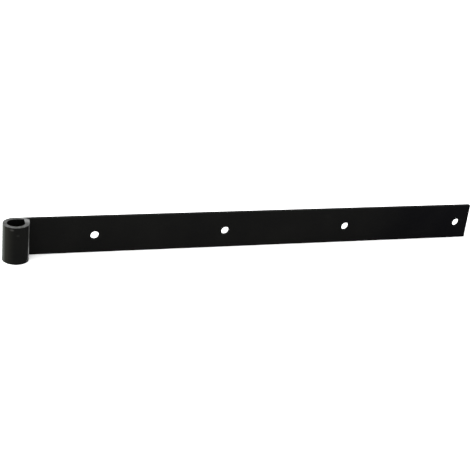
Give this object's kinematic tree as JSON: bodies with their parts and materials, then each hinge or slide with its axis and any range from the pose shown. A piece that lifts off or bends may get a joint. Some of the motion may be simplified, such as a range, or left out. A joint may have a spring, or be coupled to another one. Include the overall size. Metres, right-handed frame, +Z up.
{
  "type": "strap hinge",
  "caption": "Long flat steel strap hinge leaf with its end rolled into an open eye for a pintle, and a row of round bolt holes.",
  "frame": {"origin": "on the rear face that lies on the door, halfway up the strap and midway between the second and third bolt holes", "axes": "+X along the strap from the eye to the free end, +Y out of the rear face into the door, +Z up along the axis of the eye"},
  "size_m": [0.6, 0.03, 0.045],
  "materials": {
    "black_paint": "satin black paint"
  },
  "bodies": {
    "root": {"strap": "black_paint"}
  },
  "joints": []
}
